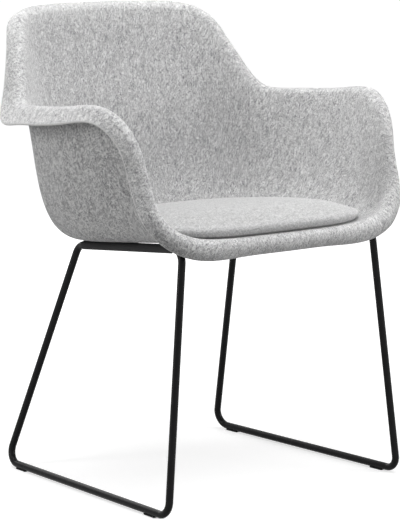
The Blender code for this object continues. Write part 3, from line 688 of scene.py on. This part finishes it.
for old in list(bpy.data.materials):
    bpy.data.materials.remove(old)
materials = {
    "felt": felt("felt", FELT_TONES, contrast=4.6, lines=0.42, cut_edge_pale_and_highlight=0.85, rim_highlight_share=0.16),
    "pad_felt": felt("pad_felt", PAD_TONES, contrast=2.0, lines=0.16, cut_edge_pale_and_highlight=0.0,
                     rim_highlight_share=0.0),
    "foam": open_foam("foam"),
    "black_steel": powder_coat("black_steel"),
    "steel": zinc("steel"),
    "nylon": moulded("nylon", colour(0.020, 0.020, 0.0205), colour(0.026, 0.026, 0.027),
                     rough=0.7, grain=0.00005, sheen=0.0),
    "rubber": moulded("rubber", colour(0.020), colour(0.032),
                      rough=0.75, grain=0.00008, sheen=0.1),
}
slot_of = {s["node"]: s["material_slot"] for s in frame["record"]["subparts"]}
for node_name, obj in frame["nodes"].items():
    obj.data.materials.clear()
    obj.data.materials.append(materials[slot_of[node_name]])

# Felt bucket
rows, top, centre, away, run = bucket_rows(COLUMNS)
rings = bucket_rings(rows, top, away, run)
inside_end = len(rows) - 1
outside_start = inside_end + TRIM_ROWS
outside_crest = len(rings) - 1 - top
under = centre + np.array((0, math.sin(SEAT_TILT), -math.cos(SEAT_TILT))) * WALL
shell_mesh = from_rings("felt_bucket", shifted(rings), shifted(centre), shifted(under))


def ring_share(start, stop, value=1.0):
    """Value of each ring: the one given from start to stop, and 0 elsewhere."""
    share = np.zeros((len(rings), 1))
    share[start:stop] = value
    return share


def from_row(start, count):
    """Share that grows over count rings from the start and holds as far as the outside."""
    share = ring_share(start + count, outside_start)
    share[start:start + count, 0] = np.linspace(0.0, 1.0, count)
    return share


def reached(value, start, reach):
    """How far a value has come from the start over the reach, held at 0 and 1."""
    return np.clip((value - start) / reach, 0, 1)


def mark_painted_light(mesh):
    """Painted highlight on the rim, strongest up the back where the rim faces up, and painted
    light in three bands: up the arms' fronts a painted highlight on the roll and painted shade on
    the outside below it, and along the seat painted shade on the roll's lower side."""
    crest_z = rows[top][:, 2]
    level = RIM_HIGHLIGHT + RIM_HIGHLIGHT_RISE * reached(crest_z, BACK_FOOT_Z, BACK_REACH)
    sloping = (reached(crest_z, FRONT_EDGE_Z, ARM_REACH)
               * reached(crest_z, ARM_TOP_Z, -ARM_REACH))
    front_edge = reached(crest_z, FRONT_EDGE_Z, -FRONT_EDGE_REACH)
    outward = from_row(top + ROLL_START, ROLL_ROWS - ROLL_START)
    turned_down = from_row(top + EDGE_START, EDGE_GROWTH)
    fade_start = outside_crest + BELOW_HOLD
    below = ring_share(outside_crest, fade_start, BELOW_PAINTED_SHADE)
    below[fade_start:fade_start + BELOW_FADE, 0] = np.linspace(BELOW_PAINTED_SHADE, 0.0, BELOW_FADE)
    # Painted highlight on the roll up the arms' fronts, painted shade on the outside just below it
    # and on the lower side of the roll along the seat's front
    painted_light = (ROLL_PAINTED_HIGHLIGHT * outward + below) * sloping + EDGE_PAINTED_SHADE * turned_down * front_edge
    mark(mesh, "rim", with_ends(from_row(top + RIM_START, RIM_GROWTH) * level))
    mark(mesh, "painted_light", with_ends(painted_light))


outside = with_ends(ring_share(outside_start, len(rings)), last=1.0)
mark(shell_mesh, "trim", with_ends(ring_share(inside_end, outside_start + 1)))
mark(shell_mesh, "outer", outside)
mark_painted_light(shell_mesh)
drop = np.linalg.norm(np.diff(rings, axis=0), axis=2)
drop = np.concatenate([np.zeros((1, COLUMNS)), np.cumsum(drop, axis=0)])
turned_by = np.broadcast_to(np.arange(COLUMNS) / COLUMNS * 2 * math.pi, drop.shape)
girth = np.linalg.norm(np.roll(rings[top], -1, axis=0) - rings[top], axis=1).sum()
mark_fibres(shell_mesh, lay_round(with_ends(turned_by), with_ends(drop, last=drop[-1].mean()),
                                  girth, 1 - OUTSIDE_CUT * outside))


def seat_plug(x, y):
    """Stepped plug, square to the seat, that leaves room for an insert's flange and barrel."""
    flange, barrel = INSERT_FLANGE_D / 2 + TOUCH, INSERT_BARREL_D / 2 + TOUCH
    pocket = INSERT_FLANGE_T + 2 * TOUCH
    at = np.array([x, y, seat_z(y)])
    up = np.array([0.0, -math.sin(SEAT_TILT), math.cos(SEAT_TILT)])
    aft = np.array([0.0, math.cos(SEAT_TILT), math.sin(SEAT_TILT)])
    turn = np.arange(SEAT_SIDES)[:, None] * 2 * math.pi / SEAT_SIDES
    spoke = np.cos(turn) * np.array([1.0, 0.0, 0.0]) + np.sin(turn) * aft
    steps = [(flange, WALL), (flange, -pocket), (barrel, -pocket), (barrel, -2 * WALL)]
    made = [shifted(at + radius * spoke + height * up) for radius, height in steps]
    ends = [shifted(at + height * up) for height in (WALL, -2 * WALL)]
    return from_rings("plug", made, *ends)


def cut_seats(mesh):
    """The mesh with the four inserts' seats cut out of its floor."""
    body = linked("uncut", mesh)
    plugs = []
    for side in (1, -1):
        for y in STRAP_Y.values():
            plug = linked("plug", seat_plug(side * SCREW_SPAN / 2, y))
            plugs.append(plug)
            cut = body.modifiers.new("seat", "BOOLEAN")
            cut.operation, cut.solver, cut.object = "DIFFERENCE", "EXACT", plug
    view = bpy.context.evaluated_depsgraph_get()
    made = bpy.data.meshes.new_from_object(body.evaluated_get(view), depsgraph=view)
    for obj in plugs + [body]:
        bpy.data.objects.remove(obj)
    return made


shell_mesh = cut_seats(shell_mesh)
shell = piece("felt_bucket", shell_mesh, materials["felt"], "chair")
shell_mesh.set_sharp_from_angle(angle=SHARP_FROM)
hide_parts("felt_shell")


# Sled bars, with finer bends than the solids have, and the welds of the straps
def sled_path(side):
    corners = [Vector((side * RUNNER_FRONT_HALF, -RUNNER_Y, RUNNER_Z)),
               Vector((side * RUNNER_REAR_HALF, RUNNER_Y, RUNNER_Z)),
               Vector((side * RAIL_REAR_HALF, RAIL_REAR_Y, RAIL_REAR_Z)),
               Vector((side * RAIL_FRONT_HALF, RAIL_FRONT_Y, RAIL_FRONT_Z))]
    path = []
    for i, corner in enumerate(corners):
        back_to = (corners[i - 1] - corner).normalized()
        on_to = (corners[(i + 1) % 4] - corner).normalized()
        half_angle = back_to.angle(on_to) / 2
        middle = corner + (back_to + on_to).normalized() * BAR_BEND_R / math.sin(half_angle)
        start = corner + back_to * BAR_BEND_R / math.tan(half_angle)
        end = corner + on_to * BAR_BEND_R / math.tan(half_angle)
        axis = (start - middle).cross(end - middle)
        for k in range(BEND_STEPS + 1):
            turn = Matrix.Rotation((math.pi - 2 * half_angle) * k / BEND_STEPS, 3, axis)
            path.append(tuple(middle + turn @ (start - middle)))
    return path


def rail_at(side, y):
    """Middle of the rail's bar at depth y."""
    t = (y - RAIL_FRONT_Y) / (RAIL_REAR_Y - RAIL_FRONT_Y)
    return np.array([side * mix(RAIL_FRONT_HALF, RAIL_REAR_HALF, t), y,
                     mix(RAIL_FRONT_Z, RAIL_REAR_Z, t)])


def weld_path(side, y, up):
    """Bead in the corner between the strap's end and the bar, over or under the strap."""
    inward = np.array([-side * (BAR_R + TOUCH) * WELD_SEAT, 0.0, up * (STRAP_T / 2 + TOUCH)])
    depths = np.linspace(y - STRAP_WIDTH / 2, y + STRAP_WIDTH / 2, WELD_STEPS)
    return [rail_at(side, depth) + inward for depth in depths]


weld_radii = WELD_R * (1 + WELD_SWELL * np.sin(np.arange(WELD_STEPS) * WELD_PITCH))
weld_radii *= np.sin(np.linspace(*WELD_ENDS, WELD_STEPS) * math.pi) ** WELD_END_POWER
for side, hand in ((1, "left"), (-1, "right")):
    bar_mesh = tube("bar_" + hand, shifted(sled_path(side)), BAR_R, BAR_SIDES, True)
    bar = piece("bar_" + hand, bar_mesh, materials["black_steel"], "chair")
    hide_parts("sled_" + hand)
    for end, y in STRAP_Y.items():
        for place, up in (("upper", 1), ("lower", -1)):
            bead = tube("weld", shifted(weld_path(side, y, up)), weld_radii, WELD_SIDES, False)
            piece(f"weld_{end}_{hand}_{place}", bead, materials["black_steel"], "chair")


# Seat pad
def pad_profile():
    """Radius and height of each row of the cover, from the crown over the edge to the lap."""
    ribs = rows[:top + 1]
    flat = ribs[..., :2] - centre[:2]
    reach = np.linalg.norm(flat, axis=-1)
    out = flat[-1] / reach[-1][:, None]
    edge = outline(out, PAD_HALF, CENTRE_Y - PAD_FRONT_Y, PAD_REAR_Y - CENTRE_Y,
                   PAD_FRONT_POWER, PAD_REAR_POWER)
    rise = ribs[..., 2] - seat_z(ribs[..., 1])
    for j in range(COLUMNS):
        if rise[-1, j] > PAD_CLIMB:
            edge[j] = min(edge[j], np.interp(PAD_CLIMB, rise[:, j], reach[:, j]))

    def under_at(rho):
        """Height of the bucket under the pad at each column's radius."""
        z = [np.interp(r, np.concatenate([[0.0], reach[:, j]]),
                       np.concatenate([[centre[2]], ribs[:, j, 2]])) for j, r in enumerate(rho)]
        return np.array(z) + PAD_REST

    front = np.clip(-out[:, 1], 0, 1) ** 2
    rear = np.clip(out[:, 1], 0, 1) ** 2
    thick = PAD_SIDE_T + (PAD_FRONT_T - PAD_SIDE_T) * front + (PAD_REAR_T - PAD_SIDE_T) * rear
    edge_r = thick * PAD_ROUND_SHARE
    shoulder = edge - edge_r
    level = under_at(shoulder)
    shelf = level + thick - seat_z(centre[1] + out[:, 1] * shoulder)
    profile = []
    for s in np.linspace(PAD_CROWN_START, 1.0, PAD_CROWN_ROWS):
        rho = shoulder * s
        floor = seat_z(centre[1] + out[:, 1] * rho)
        profile.append((rho, floor + PAD_CENTRE_T + (shelf - PAD_CENTRE_T) * s ** PAD_CROWN_POWER))
    for k in range(1, PAD_EDGE_ROWS):
        a = math.pi / 2 - math.pi * k / PAD_EDGE_ROWS
        draw = 1.0 if a >= 0 else 1.0 - PAD_EDGE_DRAW * math.sin(-a)
        rho = shoulder + edge_r * math.cos(a) * draw
        low = under_at(rho)
        share = 0.5 * (1 + math.sin(a))
        profile.append((rho, low + thick * share - (low - level) * share))
    lap = shoulder - PAD_LAP
    for t in np.linspace(0.0, 1.0, PAD_LAP_ROWS):
        rho = mix(shoulder, lap, t)
        profile.append((rho, under_at(rho)))
    return profile, out, under_at, lap


def pad_rings(profile, out):
    made = []
    for rho, z in profile:
        xy = centre[:2] + out * rho[:, None]
        made.append(shifted(np.column_stack([xy, z])))
    return made


def pad_centre(height):
    return shifted(centre + np.array((0, 0, height)))


# Row of the cover's edge from which it is tucked under, and the painted shade of the gap under
# that edge
TUCK_ROW = PAD_CROWN_ROWS + 13
TUCK_PAINTED_SHADE = -0.65

profile, out, under_at, lap = pad_profile()
bed = PAD_BASE_T + TOUCH
inner = [(lap * t, under_at(lap * t) + bed) for t in PAD_INNER_SHARES]
cover_rings = pad_rings(profile + inner, out)
cover_mesh = from_rings("pad_cushion", cover_rings, pad_centre(PAD_CENTRE_T),
                        pad_centre(PAD_REST + bed))
mark_fibres(cover_mesh, lay_flat(cover_mesh))
tucked = np.zeros((len(cover_rings), 1))
tucked[TUCK_ROW:] = TUCK_PAINTED_SHADE
mark(cover_mesh, "painted_light", with_ends(tucked, last=TUCK_PAINTED_SHADE))
cushion = piece("pad_cushion", cover_mesh, materials["pad_felt"], "seat_pad")
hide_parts("pad_cover", "pad_foam")

sheet = [lap * t for t in PAD_SHEET_SHARES]
sheet[-1] = sheet[-1] - TOUCH
upper = pad_rings([(rho, under_at(rho) + PAD_BASE_T) for rho in sheet], out)
lower = pad_rings([(rho, under_at(rho)) for rho in sheet[::-1]], out)
base_mesh = from_rings("pad_underside", upper + lower, pad_centre(PAD_REST + PAD_BASE_T),
                       pad_centre(PAD_REST))
mark_fibres(base_mesh, lay_flat(base_mesh))
underside = piece("pad_underside", base_mesh, materials["pad_felt"], "seat_pad")
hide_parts("pad_base")

# Floor and world: white where they are seen, grey and faint where they light the object
FLOOR_REACH = 30.0
FLOOR_LIT, FLOOR_SEEN = colour(0.28), colour(0.70)
GLOW_START, GLOW_END, GLOW_NEAR = 0.4, 2.2, 0.58
WORLD_LIGHT = 0.05

# Lamps: name, width and height, power, place and the point they face
LAMPS = (
    ("overhead", (1.4, 1.4), 48.0, (-0.2, 0.1, 2.8), (0.0, 0.0, 0.5)),
    ("top_front", (1.6, 1.6), 25.0, (0.2, -1.5, 2.6), (0.0, 0.0, 0.5)),
    ("front_right", (1.4, 1.2), 48.0, (2.1, -2.5, 1.15), (0.0, 0.0, 0.55)),
    ("left", (0.6, 2.2), 36.5, (-2.8, 0.75, 1.4), (0.0, 0.0, 0.5)),
    ("rear", (2.4, 1.4), 28.0, (0.0, 2.8, 1.7), (0.0, 0.0, 0.5)),
)


def studio_floor():
    """Grey to light that falls on it; to the eye white, and duller near the chair."""
    m = new_material("studio_floor")
    seen = m.seen()
    away = m.add("VectorMath", {0: m.place}, operation="LENGTH")["Value"]
    glow = m.ramp(away, GLOW_START, GLOW_END, GLOW_NEAR, 1.0)
    m.put(Emission_Color=colour(1.0), Emission_Strength=m.math("MULTIPLY", seen, glow))
    return m.put(Base_Color=m.blend(seen, FLOOR_LIT, FLOOR_SEEN), Roughness=1.0,
                 Specular_IOR_Level=0.0)


def area_light(name, size, power, place, aim):
    data = bpy.data.lights.new(name, "AREA")
    data.shape = "RECTANGLE"
    data.size, data.size_y = size
    data.energy = power
    lamp = linked(name, data)
    lamp.location = place
    lamp.rotation_euler = (Vector(aim) - Vector(place)).to_track_quat("-Z", "Y").to_euler()


plane = bpy.data.meshes.new("studio_floor")
corners = [(x * FLOOR_REACH, y * FLOOR_REACH, 0) for x, y in ((-1, -1), (1, -1), (1, 1), (-1, 1))]
plane.from_pydata(corners, [], [(0, 1, 2, 3)])
plane.materials.append(studio_floor())
floor = linked("studio_floor", plane)

world = Nodes(bpy.data.worlds.new("studio"), "Background")
strength = world.add("MapRange", {"Value": world.seen(), "To Min": WORLD_LIGHT})[0]
bpy.context.scene.world = world.put(Color=colour(1.0), Strength=strength)
for lamp in LAMPS:
    area_light(*lamp)

# Camera, solved from the photo, with its height, focal length and shifts in the photo's pixels
PHOTO_HEIGHT = 519.0
FOCAL_LENGTH = 2320.0
SHIFT_RIGHT, SHIFT_UP = -1.05, -0.3
SENSOR = 36.0
AZIMUTH, ELEVATION = math.radians(-39.0), math.radians(8.91)
CAMERA_AT = (-2.3727, -2.965, 0.9486)
CLIP_END = 100.0

camera_data = bpy.data.cameras.new("camera")
camera_data.sensor_width = SENSOR
camera_data.lens = SENSOR * FOCAL_LENGTH / PHOTO_HEIGHT
camera_data.shift_x = SHIFT_RIGHT / PHOTO_HEIGHT
camera_data.shift_y = SHIFT_UP / PHOTO_HEIGHT
camera_data.clip_end = CLIP_END
camera = linked("camera", camera_data)
towards = Vector((-math.sin(AZIMUTH) * math.cos(ELEVATION),
                  math.cos(AZIMUTH) * math.cos(ELEVATION), -math.sin(ELEVATION)))
camera.location = CAMERA_AT
camera.rotation_euler = towards.to_track_quat("-Z", "Y").to_euler()
bpy.context.scene.camera = camera
bpy.context.scene.view_settings.view_transform = "Standard"
